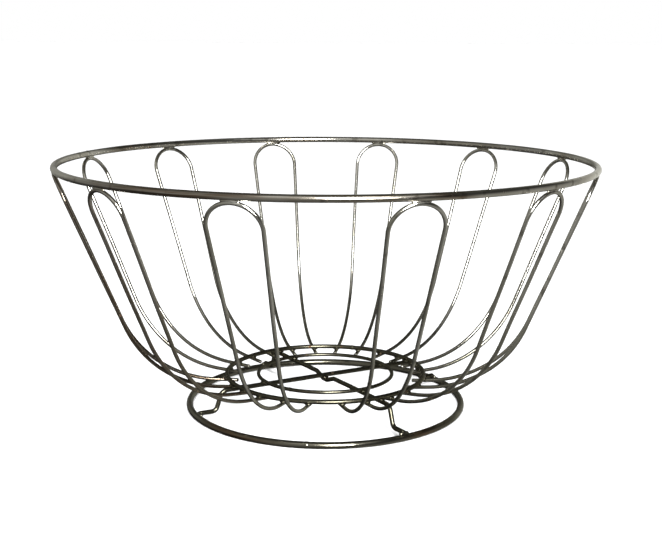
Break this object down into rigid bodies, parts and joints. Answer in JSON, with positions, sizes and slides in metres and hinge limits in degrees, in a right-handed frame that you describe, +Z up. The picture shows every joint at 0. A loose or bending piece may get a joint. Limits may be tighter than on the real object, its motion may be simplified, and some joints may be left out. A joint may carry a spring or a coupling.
{
  "type": "wire fruit basket",
  "caption": "Round wire fruit basket: hairpin wire arches welded to a rim ring and two floor rings, standing on a wire foot ring.",
  "frame": {"origin": "on the table top, on the basket's vertical axis, under the middle of the foot ring", "axes": "+Z up along the basket's axis, from the foot ring to the rim; -Y towards the front, midway between two arches; +X to the right seen from the front"},
  "size_m": [0.2836, 0.2836, 0.1338],
  "materials": {
    "rim_chrome": "worn bright plating on thick wire, lightly tarnished",
    "arch_chrome": "worn bright plating on thin drawn wire",
    "floor_chrome": "worn bright plating with brown tarnish at the welds",
    "foot_chrome": "worn bright plating on thick wire, brown tarnish in patches"
  },
  "bodies": {
    "root": {"rim_ring": "rim_chrome", "foot_ring": "foot_chrome", "arch_right_1": "arch_chrome", "arch_left_1": "arch_chrome", "arch_right_2": "arch_chrome", "arch_left_2": "arch_chrome", "arch_right_3": "arch_chrome", "arch_left_3": "arch_chrome", "arch_right_4": "arch_chrome", "arch_left_4": "arch_chrome", "arch_right_5": "arch_chrome", "arch_left_5": "arch_chrome", "arch_right_6": "arch_chrome", "arch_left_6": "arch_chrome", "outer_floor_ring": "floor_chrome", "inner_floor_ring": "floor_chrome", "upper_cross_brace": "floor_chrome", "lower_cross_brace": "floor_chrome"}
  },
  "joints": []
}
